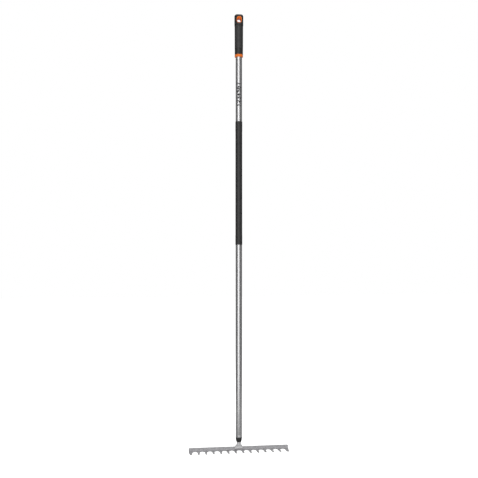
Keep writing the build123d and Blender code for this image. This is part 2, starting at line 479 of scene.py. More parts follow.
@dataclass(frozen=True)
class Finish:
    """A finish of the real tool, with its colour, gloss, grain, wear and dust.

    Depths and reaches are in metres, scales in noise cells per metre. Dust_dulls is how much
    rougher a full film of dust makes the surface.
    """

    name: str
    slot: Slot
    colour: Colour
    drift: Colour
    roughness: Span
    metallic: float = 0.0
    specular: float = 0.5
    drift_scale: float = 45.0
    grain_scale: float = 1200.0
    grain_draw: Triple = (1.0, 1.0, 1.0)
    grain_depth: float = 0.00002
    wear: float = 0.3
    wear_reach: float = 0.0006
    wear_colour: Colour = (0.2, 0.2, 0.2)
    dust: float = 0.06
    dust_dulls: float = 0.4

    def material(self, effects: Effects) -> Material:
        """Builds the material.

        Args:
            effects: the shared node groups.

        Returns:
            The material, named after the finish.
        """
        material = bpy.data.materials.new(self.name)
        material.use_nodes = True
        material.node_tree.nodes.clear()
        sheet = Sheet(material.node_tree)
        shader = sheet.add(
            "BsdfPrincipled", {"Metallic": self.metallic, "Specular IOR Level": self.specular}
        )
        leave = sheet.add("OutputMaterial")
        sheet.feed(leave, {"Surface": shader.outputs["BSDF"]})
        grain = sheet.group(effects.grain, {"Scale": self.grain_scale, "Draw": self.grain_draw})
        tone = sheet.group(
            effects.drift,
            {"Colour": rgba(self.colour), "Drift": rgba(self.drift), "Scale": self.drift_scale},
        )
        colour, gloss = self.mark(sheet, shader, tone.outputs["Colour"], grain)
        worn = sheet.group(effects.edge_wear, {"Reach": self.wear_reach, "Amount": self.wear})
        colour = sheet.blend(worn.outputs["Mask"], colour, rgba(self.wear_colour))
        film = sheet.group(effects.dust, {"Colour": colour, "Amount": self.dust})
        dull = sheet.math("MULTIPLY", film.outputs["Mask"], self.dust_dulls)
        rough = sheet.math("ADD", gloss, dull, clamp=True)
        relief = {"Height": grain.outputs["Height"], "Distance": self.grain_depth, "Strength": 1.0}
        bump = sheet.add("Bump", relief)
        sheet.feed(
            shader,
            {"Base Color": film.outputs["Colour"], "Roughness": rough, "Normal": bump.outputs[0]},
        )
        return material

    def mark(
        self, sheet: Sheet, shader: Node, colour: Socket, grain: Node
    ) -> tuple[Socket, Socket]:
        """Adds what is special to the finish; a plain finish only varies its gloss.

        Args:
            sheet: the material's sheet.
            shader: the material's shader.
            colour: the colour so far.
            grain: the material's grain group.

        Returns:
            The colour and the roughness.
        """
        return colour, self.gloss(sheet, grain)

    def gloss(self, sheet: Sheet, grain: Node) -> Socket:
        """Carries the grain's mask to the finish's two values of roughness."""
        return sheet.remap(grain.outputs["Mask"], 0.0, 1.0, *self.roughness)


@dataclass(frozen=True)
class DrawnMetal(Finish):
    """Tube drawn through a die: long fine lines and a few faint scuffs across them."""

    scuff: float = 0.5
    scuff_slant: Triple = (0.3, 0.2, 0.4)
    scuff_draw: Triple = (1.0, 1.0, 5.0)
    scuff_scale: float = 130.0
    scuff_spread: Span = (0.60, 0.76)
    scuff_dulls: float = 0.16
    scuff_tone: float = 0.88

    def mark(
        self, sheet: Sheet, shader: Node, colour: Socket, grain: Node
    ) -> tuple[Socket, Socket]:
        """Adds dull scuffs, short and slanting, where noise drawn across the tube is high.

        Args:
            sheet: the material's sheet.
            shader: the material's shader.
            colour: the colour so far.
            grain: the material's grain group.

        Returns:
            The colour and the roughness.
        """
        turn = {0: sheet.place(), "Rotation": self.scuff_slant, "Scale": self.scuff_draw}
        noise = sheet.noise(sheet.add("Mapping", turn).outputs[0], self.scuff_scale, 6.0)
        scuffs = sheet.remap(noise, *self.scuff_spread, 0.0, self.scuff)
        dull = sheet.math("MULTIPLY", scuffs, self.scuff_dulls)
        dulled = sheet.math("ADD", self.gloss(sheet, grain), dull, clamp=True)
        darker = tuple(self.scuff_tone * channel for channel in self.colour)
        return sheet.blend(scuffs, colour, rgba(darker)), dulled


@dataclass(frozen=True)
class CoatedSteel(Finish):
    """Thin coat over pressed steel, rubbed bare and bright towards the points of the teeth.

    Bare_span is the depths, in metres, between which the rubbing grows from none to full.
    """

    bare_colour: Colour = (0.56, 0.55, 0.54)
    bare_span: Span = (-0.040, -0.0515)
    bare_spread: Span = (0.35, 0.75)
    barest: float = 0.8
    stroke_draw: Triple = (6.0, 0.6, 1.0)
    stroke_scale: float = 320.0
    stroke_spread: Span = (0.3, 0.7)
    stroke_shift: Span = (-0.45, 0.25)

    def mark(
        self, sheet: Sheet, shader: Node, colour: Socket, grain: Node
    ) -> tuple[Socket, Socket]:
        """Wears the coat by depth: the mask grows with -Y, broken up by lengthwise noise.

        Args:
            sheet: the material's sheet.
            shader: the material's shader.
            colour: the colour so far.
            grain: the material's grain group.

        Returns:
            The colour and the roughness.
        """
        place = sheet.place()
        depth = sheet.add("SeparateXYZ", {0: place}).outputs["Y"]
        point = sheet.remap(depth, *self.bare_span)
        strokes = sheet.add("Mapping", {0: place, "Scale": self.stroke_draw})
        noise = sheet.noise(strokes.outputs[0], self.stroke_scale, 5.0)
        shift = sheet.remap(noise, *self.stroke_spread, *self.stroke_shift)
        bare = sheet.remap(sheet.math("ADD", point, shift), *self.bare_spread, 0.0, self.barest)
        sheet.feed(shader, {"Metallic": sheet.math("MAXIMUM", bare, self.metallic)})
        return sheet.blend(bare, colour, rgba(self.bare_colour)), self.gloss(sheet, grain)


FINISHES = (
    Finish(
        "hard_black_plastic",
        Slot.CAP,
        colour=(0.014, 0.0137, 0.0134),
        drift=(0.020, 0.0195, 0.019),
        roughness=(0.40, 0.54),
        specular=0.5,
        grain_scale=2600.0,
        grain_depth=0.00003,
        wear=0.35,
        wear_colour=(0.10, 0.10, 0.10),
    ),
    Finish(
        "orange_plastic",
        Slot.ORANGE,
        colour=(0.80, 0.185, 0.018),
        drift=(0.74, 0.160, 0.015),
        roughness=(0.34, 0.48),
        specular=0.4,
        grain_scale=1900.0,
        grain_depth=0.00001,
        wear=0.30,
        wear_colour=(0.90, 0.26, 0.08),
    ),
    Finish(
        "soft_black_cover",
        Slot.COVER,
        colour=(0.022, 0.022, 0.0225),
        drift=(0.030, 0.0295, 0.029),
        roughness=(0.46, 0.60),
        specular=0.5,
        grain_scale=1500.0,
        grain_depth=0.00006,
        wear=0.25,
        wear_colour=(0.11, 0.11, 0.11),
        dust=0.10,
    ),
    DrawnMetal(
        "drawn_aluminium",
        Slot.TUBE,
        colour=(0.72, 0.72, 0.725),
        drift=(0.68, 0.68, 0.69),
        roughness=(0.25, 0.30),
        metallic=0.86,
        grain_scale=2400.0,
        grain_draw=(1.0, 1.0, 0.012),
        grain_depth=0.000002,
        drift_scale=18.0,
        wear=0.2,
        wear_colour=(0.85, 0.85, 0.85),
        dust=0.03,
    ),
    Finish(
        "black_shrink_sleeve",
        Slot.SLEEVE,
        colour=(0.018, 0.018, 0.0185),
        drift=(0.025, 0.025, 0.025),
        roughness=(0.42, 0.54),
        specular=0.5,
        grain_scale=1300.0,
        grain_draw=(1.0, 1.0, 0.25),
        grain_depth=0.00003,
        wear=0.4,
        wear_colour=(0.14, 0.14, 0.14),
    ),
    Finish(
        "moulded_black_bush",
        Slot.BUSH,
        colour=(0.016, 0.016, 0.017),
        drift=(0.024, 0.024, 0.025),
        roughness=(0.36, 0.50),
        grain_scale=1800.0,
        grain_depth=0.00002,
        wear=0.35,
        wear_colour=(0.09, 0.09, 0.09),
    ),
    Finish(
        "bright_rivet",
        Slot.RIVET,
        colour=(0.88, 0.88, 0.88),
        drift=(0.80, 0.80, 0.81),
        roughness=(0.30, 0.44),
        metallic=0.75,
        grain_scale=2600.0,
        wear=0.2,
        wear_colour=(0.9, 0.9, 0.9),
    ),
    Finish(
        "forged_zinc_tang",
        Slot.TANG,
        colour=(0.68, 0.68, 0.69),
        drift=(0.60, 0.60, 0.61),
        roughness=(0.42, 0.60),
        metallic=0.30,
        grain_scale=420.0,
        grain_depth=0.00010,
        wear=0.4,
        wear_colour=(0.70, 0.70, 0.70),
    ),
    CoatedSteel(
        "coated_comb_steel",
        Slot.COMB,
        colour=(0.430, 0.427, 0.440),
        drift=(0.375, 0.372, 0.387),
        roughness=(0.40, 0.58),
        metallic=0.15,
        grain_scale=700.0,
        grain_depth=0.00004,
        drift_scale=70.0,
        wear=0.55,
        wear_reach=0.0009,
        wear_colour=(0.50, 0.50, 0.50),
        dust=0.10,
    ),
    Finish(
        "rippled_weld",
        Slot.WELD,
        colour=(0.40, 0.40, 0.41),
        drift=(0.28, 0.27, 0.27),
        roughness=(0.40, 0.65),
        metallic=0.4,
        drift_scale=300.0,
        grain_scale=900.0,
        grain_depth=0.00006,
        wear=0.3,
        wear_colour=(0.55, 0.55, 0.55),
    ),
)

SCALE_INK = Finish(
    "scale_ink",
    Slot.TUBE,
    colour=(0.022, 0.022, 0.024),
    drift=(0.040, 0.040, 0.042),
    roughness=(0.50, 0.66),
    specular=0.2,
    grain_scale=1700.0,
    drift_scale=350.0,
    grain_depth=0.00001,
    wear=0.25,
    wear_colour=(0.30, 0.30, 0.30),
)


class Wardrobe:
    """Builds each finish's material once and puts it on pieces."""

    def __init__(self) -> None:
        """Builds the shared effects and every material."""
        self.effects = Effects()
        self.by_slot = {finish.slot: finish.material(self.effects) for finish in FINISHES}
        self.ink = SCALE_INK.material(self.effects)

    def dress(
        self,
        piece: Object,
        slot: Slot,
        stands_for: Sequence[str] = (),
        material: Material | None = None,
    ) -> Object:
        """Puts a finish on a new piece, seats it on the body and hides what it stands for.

        Args:
            piece: the new piece, in its place.
            slot: the record's slot that it takes its finish from.
            stands_for: CAD nodes that it replaces.
            material: its material, if it isn't the slot's own.

        Returns:
            The piece.
        """
        piece.data.materials.append(material or self.by_slot[slot])
        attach(piece, BODY)
        if stands_for:
            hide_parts(*stands_for)
        log.info("%s: %d faces, %s", piece.name, len(piece.data.polygons), slot.value)
        return piece

    def dress_node(self, node: str, slot: Slot) -> None:
        """Gives a CAD node that stays on show its finish.

        Args:
            node: the node's name.
            slot: the record's slot that it takes its finish from.
        """
        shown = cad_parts[node]
        shown.data.materials.clear()
        shown.data.materials.append(self.by_slot[slot])
        log.info("%s: CAD node, %s", node, slot.value)


# ---- Sub-assemblies (sizes in millimetres, heights measured from the hanging eye) ----


@dataclass
class EndGrip:
    """End cap with its hanging eye, soft cover, closing collar and coloured ring."""

    cap_base: float = -20.0
    cover_end: float = -106.0
    ring_top: float = -129.0
    ring_end: float = -138.0
    tube_radius: float = 12.0
    core_radius: float = 13.4
    cover_radius_top: float = 16.0
    cover_radius_end: float = 15.7
    collar_radius: float = 15.5
    ring_radius: float = 15.6
    ring_taper: float = 2.0

    def build(self, wardrobe: Wardrobe) -> None:
        """Dresses the cap and eyelet, and makes the cover, the collar and the core.

        Args:
            wardrobe: the finishes.
        """
        wardrobe.dress_node("end_cap", Slot.CAP)
        wardrobe.dress_node("hanger_eyelet", Slot.ORANGE)
        wardrobe.dress(self.cover(), Slot.COVER, ["grip_cover"])
        wardrobe.dress(self.collar(), Slot.CAP, ["grip_collar"])
        wardrobe.dress(self.core(), Slot.ORANGE, ["grip_core"])

    def cover(self) -> Object:
        """Soft cover: a closed sleeve outline with rounded ends, turned round the shaft.

        Returns:
            The new object.
        """
        return turned(
            "soft_grip_cover",
            [
                (self.core_radius, self.cap_base, SNUG),
                (self.cover_radius_top, self.cap_base, 1.2),
                (self.cover_radius_end, self.cover_end, 1.2),
                (self.core_radius, self.cover_end, SNUG),
            ],
            longest=6.0,
        )

    def collar(self) -> Object:
        """Hard collar: a short sleeve with small rounded rims, turned round the shaft.

        Returns:
            The new object.
        """
        return turned(
            "grip_end_collar",
            [
                (self.core_radius, self.cover_end, SNUG),
                (self.collar_radius, self.cover_end, 0.6),
                (self.collar_radius, self.ring_top, 0.4),
                (self.core_radius, self.ring_top, SNUG),
            ],
            longest=6.0,
        )

    def core(self) -> Object:
        """Core sleeve whose lower end steps out as the ring and rounds in at its foot.

        Returns:
            The new object.
        """
        return turned(
            "grip_core_ring",
            [
                (self.tube_radius, self.cap_base, SNUG),
                (self.core_radius, self.cap_base, SNUG),
                (self.core_radius, self.ring_top, SNUG),
                (self.ring_radius, self.ring_top, 0.3),
                (self.ring_radius, self.ring_end + self.ring_taper, 1.2),
                (self.ring_radius - self.ring_taper, self.ring_end, 0.4),
                (self.tube_radius, self.ring_end, SNUG),
            ],
            longest=6.0,
        )


@dataclass
class Shaft:
    """Aluminium tube, the sleeve on its middle and the printed measuring scale."""

    top: float = -20.0
    end: float = -1571.0
    radius: float = 12.0
    bore: float = 10.8
    sleeve_top: float = -380.5
    sleeve_end: float = -845.0
    sleeve_radius: float = 12.75
    band_radius: float = 13.0
    band: float = 36.0
    band_step: float = 1.2
    around: int = 160
    scale_top: float = -233.6
    scale_step: float = 13.4
    scale_count: int = 7
    figure_height: float = 10.6
    figure_width: float = 8.6
    figure_bend: float = 0.24
    tick_gap: float = 2.4
    tick_length: float = 2.6
    ink_width: float = 3.3
    ink_rise: float = 0.05
    ink_sink: float = 0.05
    ink_layer: float = 0.012
    ink_layers: int = 4
    ink_columns: int = 9
    ink_run: float = 0.6
    ink_angle: float = -12.0

    def build(self, wardrobe: Wardrobe) -> None:
        """Makes the tube, the sleeve and the scale.

        Args:
            wardrobe: the finishes.
        """
        wardrobe.dress(self.tube(), Slot.TUBE, ["shaft_tube"])
        wardrobe.dress(self.sleeve(), Slot.SLEEVE, ["centre_sleeve"])
        wardrobe.dress(self.measuring_scale(), Slot.TUBE, material=wardrobe.ink)

    def tube(self) -> Object:
        """Tube: a thin closed wall outline turned round the shaft axis.

        Returns:
            The new object.
        """
        return turned(
            "shaft_tube_drawn",
            [
                (self.bore, self.top, 0.2),
                (self.radius, self.top, 0.3),
                (self.radius, self.end, 0.3),
                (self.bore, self.end, 0.2),
            ],
            longest=40.0,
            around=self.around,
        )

    def sleeve(self) -> Object:
        """Sleeve: a thin wall with a slightly thicker band at each end, turned.

        Returns:
            The new object.
        """
        return turned(
            "centre_sleeve_film",
            [
                (self.radius, self.sleeve_top, SNUG),
                (self.band_radius, self.sleeve_top, 0.45),
                (self.band_radius, self.sleeve_top - self.band, 2.0),
                (self.sleeve_radius, self.sleeve_top - self.band - self.band_step, 2.0),
                (self.sleeve_radius, self.sleeve_end + self.band + self.band_step, 2.0),
                (self.band_radius, self.sleeve_end + self.band, 2.0),
                (self.band_radius, self.sleeve_end, 0.45),
                (self.radius, self.sleeve_end, SNUG),
            ],
            longest=30.0,
            around=self.around,
        )

    def figure_strokes(self) -> dict[str, list[list[Corner]]]:
        """Pen strokes of each figure, in a box one wide and one high.

        Returns:
            Open paths of (across, up, rounding) corners for each figure.
        """
        r = self.figure_bend
        bowl = [(1, 0, r), (0, 0, 0)]
        hook = [(0, 0.72, 0), (0, 1, r), (1, 1, r), (1, 0.55, r), (0.13, 0.07, 0)]
        crown = [(0, 1, 0), (1, 1, r), (1, 0.5, r), (0.3, 0.5, 0)]
        loop = [(0.9, 1, 0), (0, 1, r), (0, 0, r), (1, 0, r), (1, 0.56, r), (0.1, 0.56, 0)]
        return {
            "1": [[(0.15, 0.72, 0), (0.54, 0.94, 0)], [(0.6, 1, 0), (0.6, 0, 0)]],
            "2": [hook, [(0, 0, 0), (1, 0, 0)]],
            "3": [crown, [(0.3, 0.5, 0), (1, 0.5, r), *bowl]],
            "4": [
                [(0.7, 0, 0), (0.7, 1, 0)],
                [(0.62, 0.94, 0), (0.12, 0.4, 0)],
                [(0, 0.3, 0), (1, 0.3, 0)],
            ],
            "5": [
                [(0.95, 1, 0), (0, 1, 0)],
                [(0, 1, 0), (0, 0.56, 0)],
                [(0, 0.56, 0), (1, 0.56, r), *bowl],
            ],
            "6": [loop],
            "7": [[(0, 1, 0), (1, 1, 0)], [(0.92, 0.93, 0), (0.4, 0, 0)]],
        }

    def ink_ribbon(self, path: Array, rise: float) -> tuple[Array, Array, Array]:
        """A flat ribbon of ink along a path drawn on the unrolled tube.

        The path's two sides lie half a width along its normal. Each point (a, b) of the
        unrolled tube goes to angle a / radius and height b, at the tube's radius plus the
        ink's rise for the top face, and just inside the tube for the bottom face.

        Args:
            path: (n, 2) points, across and along the tube, in millimetres.
            rise: height of the ribbon's top face over the tube.

        Returns:
            The ribbon's points, its quads and the triangles in its two ends, a closed shell.
        """
        way = np.gradient(path, axis=0)
        way /= np.linalg.norm(way, axis=1, keepdims=True)
        normal = np.stack([-way[:, 1], way[:, 0]], 1)
        top = np.linspace(-1, 1, self.ink_columns)
        reach = np.concatenate([top, [1.0, -1.0]]) * self.ink_width / 2
        sunk = [-self.ink_sink, -self.ink_sink]
        level = self.radius + np.concatenate([np.full(self.ink_columns, rise), sunk])
        flat = path[:, None] + normal[:, None] * reach[None, :, None]
        angle = math.radians(self.ink_angle) + flat[..., 0] / self.radius
        points = np.stack([level * np.sin(angle), -level * np.cos(angle), flat[..., 1]], -1)
        across = len(reach)
        sides = lattice_quads(len(path), across, False, True)
        pivot = across - 1
        fan = np.stack([np.full(pivot - 1, pivot), np.arange(pivot - 1), np.arange(1, pivot)], 1)
        caps = np.vstack([fan, fan[:, ::-1] + across * (len(path) - 1)])
        return points.reshape(-1, 3), sides, caps

    def measuring_scale(self) -> Object:
        """Plain scale: figures one to seven read along the shaft, with a tick beside each.

        Returns:
            The new object.
        """
        strokes = self.figure_strokes()
        box = np.array([self.figure_width, self.figure_height])
        paths = []
        for number in range(1, self.scale_count + 1):
            height = self.scale_top - self.scale_step * (self.scale_count - number + 0.5)
            for stroke in strokes[str(number)]:
                drawn = rounded_outline(stroke, closed=False, steps=5) * box
                across = drawn[:, 1] - self.figure_height / 2
                along = drawn[:, 0] - self.figure_width / 2
                paths.append(np.stack([-across, along + height], 1))
            tick = self.figure_height / 2 + self.tick_gap
            paths.append(np.array([[tick, height], [tick + self.tick_length, height]]))
        points, quads, caps, count = [], [], [], 0
        for layer, path in enumerate(paths):
            rise = self.ink_rise + self.ink_layer * (layer % self.ink_layers)
            run = even_out(path, self.ink_run, closed=False)
            ribbon, faces, ends = self.ink_ribbon(run, rise)
            points.append(ribbon)
            quads.append(faces + count)
            caps.append(ends + count)
            count += len(ribbon)
        return make_piece("measuring_scale", np.vstack(points), np.vstack(quads), np.vstack(caps))


@dataclass
class HeadJoint:
    """Bush in the tube's lower end, rivet, forged tang and its two welds."""

    tube_end: float = -1571.0
    tube_radius: float = 12.0
    bush_top: float = -1493.0
    bush_radius: float = 10.75
    shank_radius: float = 6.5
    nose_end: float = -1589.0
    nose_radius: float = 9.2
    nose_shoulder: float = 11.5
    neck_radius: float = 8.0
    neck_end: float = -1598.0
    foot_top: float = -1607.2
    foot_end: float = -1615.2
    foot_half_width: float = 14.5
    foot_half_depth: float = 2.5
    weld_half_length: float = 12.5
    weld_radius: float = 2.35
    bar_top: float = -1608.8
    shank_top: float = -1497.0
    shank_chamfer: Span = (0.9, 0.6)
    round_power: float = 2.0
    foot_power: float = 7.0
    thinning: float = 0.8
    tang_around: int = 96
    neck_rows: int = 6
    flare_rows: int = 30
    foot_rows: Span = (-1609.0, -1612.0)
    toe_rows: tuple[float, ...] = (0.8, 0.35, 0.1, 0.0)
    toe_insets: tuple[float, ...] = (0.0, 0.12, 0.4, 0.8)
    weld_rings: int = 141
    weld_steps: int = 11
    weld_least: float = 0.0004
    ripple_pitch: float = 1.7
    ripple_rise: float = 0.07
    ripple_lean: float = 1.3

    def build(self, wardrobe: Wardrobe) -> None:
        """Makes the bush, the tang and the welds, and dresses the rivet.

        Args:
            wardrobe: the finishes.
        """
        wardrobe.dress(self.bush(), Slot.BUSH, ["tang_bush"])
        wardrobe.dress(self.tang(), Slot.TANG, ["head_tang"])
        wardrobe.dress_node("tang_rivet", Slot.RIVET)
        wardrobe.dress(self.weld(Side.FRONT), Slot.WELD, ["weld_front"])
        wardrobe.dress(self.weld(Side.BACK), Slot.WELD, ["weld_back"])

    def bush(self) -> Object:
        """Bush: plug, shoulder flush with the tube, and a nose that curves in, turned.

        Returns:
            The new object.
        """
        return turned(
            "tang_bush_moulded",
            [
                (self.shank_radius, self.bush_top, SNUG),
                (self.bush_radius, self.bush_top, 0.3),
                (self.bush_radius, self.tube_end, SNUG),
                (self.tube_radius, self.tube_end, 0.3),
                (self.tube_radius, self.tube_end - 3.0, 4.0),
                (self.nose_shoulder, self.tube_end - 9.0, 6.0),
                (self.nose_radius, self.nose_end, 0.8),
                (self.shank_radius, self.nose_end, SNUG),
            ],
            longest=4.0,
        )

    def tang(self) -> Object:
        """Tang: a superellipse carried down the axis, whose half sizes and power change.

        At height z the section is (A |cos a|^(2/n) sign cos a, B |sin a|^(2/n) sign sin a).
        A, B and n go from the round neck to the flat foot by a smooth step in z, and both
        ends draw in a little, which rounds their edges.

        Returns:
            The new object.
        """
        cut, drop = self.shank_chamfer
        above = np.array([self.shank_top, self.shank_top - drop, self.nose_end + 0.01])
        neck = np.linspace(self.nose_end, self.neck_end, self.neck_rows)
        flare = np.linspace(self.neck_end, self.foot_top, self.flare_rows)[1:]
        toe = self.foot_end + np.array(self.toe_rows)
        height = np.concatenate([above, neck, flare, self.foot_rows, toe])
        shrink = np.zeros_like(height)
        shrink[0] = cut
        shrink[-len(toe) :] = self.toe_insets
        part = np.clip((self.neck_end - height) / (self.neck_end - self.foot_top), 0, 1)
        blend = part**2 * (3 - 2 * part)
        narrow = np.where(height > self.nose_end, self.shank_radius, self.neck_radius)
        half_x = narrow + (self.foot_half_width - self.neck_radius) * blend - shrink
        thin = blend**self.thinning
        half_y = narrow + (self.foot_half_depth - self.neck_radius) * thin - shrink
        power = self.round_power + (self.foot_power - self.round_power) * blend
        around = self.tang_around
        angle = np.arange(around) * 2 * np.pi / around
        cos, sin = np.cos(angle)[None], np.sin(angle)[None]
        bend = (2 / power)[:, None]
        x = half_x[:, None] * np.sign(cos) * np.abs(cos) ** bend
        y = half_y[:, None] * np.sign(sin) * np.abs(sin) ** bend
        rings = np.stack([x, y, np.broadcast_to(height[:, None], x.shape)], -1)
        middles = np.array([[0, 0, height[0]], [0, 0, height[-1]]])
        points = np.vstack([rings.reshape(-1, 3), middles])
        quads = lattice_quads(len(height), around, False, True)
        first = np.arange(around)
        last = first + around * (len(height) - 1)
        top_pole, foot_pole = len(points) - 2, len(points) - 1
        top_fan = np.stack([np.full(around, top_pole), first, np.roll(first, -1)], 1)
        foot_fan = np.stack([np.full(around, foot_pole), np.roll(last, -1), last], 1)
        ends = np.vstack([top_fan, foot_fan])
        return make_piece("head_tang_forged", points, quads, ends, crease=50.0)

    def weld(self, side: Side) -> Object:
        """Weld bead: a quarter-round section carried along X, rippled and rounded at its ends.

        The section's radius at x is R (1 - (x / L)^6)^(1/2) (1 + rise cos(2 pi x / pitch)),
        and the ripples lean back by a phase that is greatest half-way round the bead.

        Args:
            side: front, under the foot; or back, above the bar.

        Returns:
            The new object.
        """
        length = self.weld_half_length
        x = np.sin(np.linspace(-np.pi / 2, np.pi / 2, self.weld_rings)) * length
        swell = np.sqrt(np.clip(1 - (x / length) ** 6, self.weld_least, 1))
        angle = np.linspace(0, np.pi / 2, self.weld_steps)
        lean = self.ripple_lean * np.sin(2 * angle)[None]
        wave = np.cos(2 * np.pi * x[:, None] / self.ripple_pitch + lean)
        ripple = 1 + self.ripple_rise * wave
        radius = self.weld_radius * swell[:, None] * ripple
        corner_z = self.foot_end if side is Side.FRONT else self.bar_top
        sign = side.value
        y = self.foot_half_depth + sign * radius * np.cos(angle)
        z = corner_z + sign * radius * np.sin(angle)
        bead = np.stack([np.broadcast_to(x[:, None], y.shape), y, z], -1)
        root = np.stack([x, np.full_like(x, self.foot_half_depth), np.full_like(x, corner_z)], -1)
        loops = np.concatenate([bead, root[:, None]], 1)
        across = loops.shape[1]
        quads = lattice_quads(len(x), across, False, True)
        rim = np.arange(1, across - 1)
        fan = np.stack([np.zeros_like(rim), rim, rim + 1], 1)
        ends = np.vstack([fan, fan[:, ::-1] + across * (len(x) - 1)])
        name = f"weld_bead_{side.name.lower()}"
        return make_piece(name, loops.reshape(-1, 3), quads, ends, crease=60.0)


@dataclass
class RakeComb:
    """The comb: one sheet with an arched, toothed edge, bent forward and gently hooked."""

    half_length: float = 189.0
    bar_top: float = -1608.8
    bar_front: float = 2.5
    sheet: float = 2.8
    bend_start: float = -1616.8
    bend_radius: float = 3.2
    bend_angle: float = 94.0
    hook_radius: float = 279.0
    hook_angle: float = 10.4
    tooth_count: int = 14
    pitch: float = 27.6
    arch_radius: float = 9.2
    arch_y: float = -11.5
    tip_half_width: float = 2.95
    end_tip_half_width: float = 3.9
    tip_corner: float = 2.0
    bar_corner: float = 3.0
    edge: float = 0.4
    end_flank_y: float = -4.0
    arch_steps: int = 12
    edge_steps: int = 4
    bend_rows: int = 12
    tooth_rows: int = 12
    past_bend: float = 0.5
    bar_rows: Span = (0.25, 0.6)
    row_gap: float = 0.01
    samples: int = 400
    flank_run: float = 5.0
    end_flank_run: float = 3.0

    def build(self, wardrobe: Wardrobe) -> None:
        """Makes the comb."""
        wardrobe.dress(self.comb(), Slot.COMB, ["rake_comb"])

    @property
    def bend_from(self) -> float:
        """Length along the sheet at which the bend starts."""
        return self.bar_top - self.bend_start

    @property
    def bend_to(self) -> float:
        """Length along the sheet at which the bend ends and the hook starts."""
        return self.bend_from + (self.bend_radius + self.sheet / 2) * math.radians(self.bend_angle)

    @property
    def reach(self) -> float:
        """Length along the sheet, from the top of the bar to the points of the teeth."""
        return self.bend_to + (self.hook_radius + self.sheet / 2) * math.radians(self.hook_angle)

    def fold(self, along: Array, lift: Array) -> tuple[Array, Array]:
        """Bends the flat sheet into the comb's section.

        A point at length s along the sheet and at height h off its middle goes straight
        down the bar, then round the bend about its centre, then along the hook, whose
        centre lies on the line from the bend's centre through the bend's end.

        Args:
            along: length s along the middle of the sheet.
            lift: height h, positive on the front and upper side.

        Returns:
            Y and Z.
        """
        middle = self.bend_radius + self.sheet / 2
        hook_middle = self.hook_radius + self.sheet / 2
        turn = math.radians(self.bend_angle)
        centre_y, centre_z = self.bar_front - self.bend_radius, self.bend_start
        bend = np.clip((along - self.bend_from) / middle, 0, turn)
        hook = np.maximum(along - self.bend_to, 0) / hook_middle
        straight = np.maximum(self.bend_from - along, 0)
        shift = middle - hook_middle
        on_hook = along > self.bend_to
        from_y = np.where(on_hook, centre_y + shift * math.cos(turn), centre_y)
        from_z = np.where(on_hook, centre_z - shift * math.sin(turn), centre_z)
        arm = np.where(on_hook, hook_middle, middle) - lift
        angle = bend + hook
        return from_y + arm * np.cos(angle), from_z - arm * np.sin(angle) + straight

    def along_at(self, y: float) -> float:
        """Length along the middle of the sheet at which it reaches a given Y."""
        along = np.linspace(self.bend_to, self.reach, self.samples)
        return float(np.interp(-y, -self.fold(along, np.zeros_like(along))[0], along))

    def inner_half(self) -> Array:
        """Edge of the sheet from the middle of a gap to the middle of a tooth.

        Returns:
            (n, 2) points, across the comb and along the sheet: a quarter of the arch, by the
            sine and cosine of its turn, and then the tooth's straight flank and its corner.
        """
        root = self.along_at(self.arch_y)
        turn = np.linspace(0, np.pi / 2, self.arch_steps + 1)[:-1]
        arch_x = self.pitch / 2 - self.arch_radius * np.sin(turn)
        arch = np.stack([arch_x, root - self.arch_radius * np.cos(turn)], 1)
        flank = rounded_outline(
            [
                (self.pitch / 2 - self.arch_radius, root, 0),
                (self.tip_half_width, self.reach, self.tip_corner),
                (0.0, self.reach, 0),
            ],
            closed=False,
        )
        return np.vstack([arch, even_out(flank, self.flank_run, closed=False)])

    def outer_half(self) -> Array:
        """Edge of the sheet from the bar's end to the middle of the end tooth.

        Returns:
            (n, 2) points, across the comb and along the sheet.
        """
        width = self.half_length - (self.tooth_count - 1) / 2 * self.pitch
        start = self.along_at(self.end_flank_y)
        flank = rounded_outline(
            [
                (width, start, 0),
                (self.end_tip_half_width, self.reach, self.tip_corner),
                (0.0, self.reach, 0),
            ],
            closed=False,
        )
        return even_out(flank, self.end_flank_run, closed=False)

    def whole_edge(self) -> Array:
        """Edge of the sheet from the left end of the bar, round every tooth, to the right.

        Returns:
            (n, 2) points, across the comb and along the sheet.
        """
        inner, outer = self.inner_half(), self.outer_half()
        mirror_x = np.array([-1.0, 1.0])
        left = outer * mirror_x
        right_side = inner[::-1][1:]
        left_side = inner * mirror_x
        centres = (np.arange(self.tooth_count) - (self.tooth_count - 1) / 2) * self.pitch
        first = np.vstack([left, right_side]) + [centres[0], 0]
        cell = np.vstack([left_side[1:], right_side])
        shifts = np.stack([centres[1:-1], np.zeros(self.tooth_count - 2)], 1)
        cells = (cell[None] + shifts[:, None]).reshape(-1, 2)
        last = np.vstack([left_side[1:], outer[::-1][1:]]) + [centres[-1], 0]
        return np.vstack([first, cells, last])

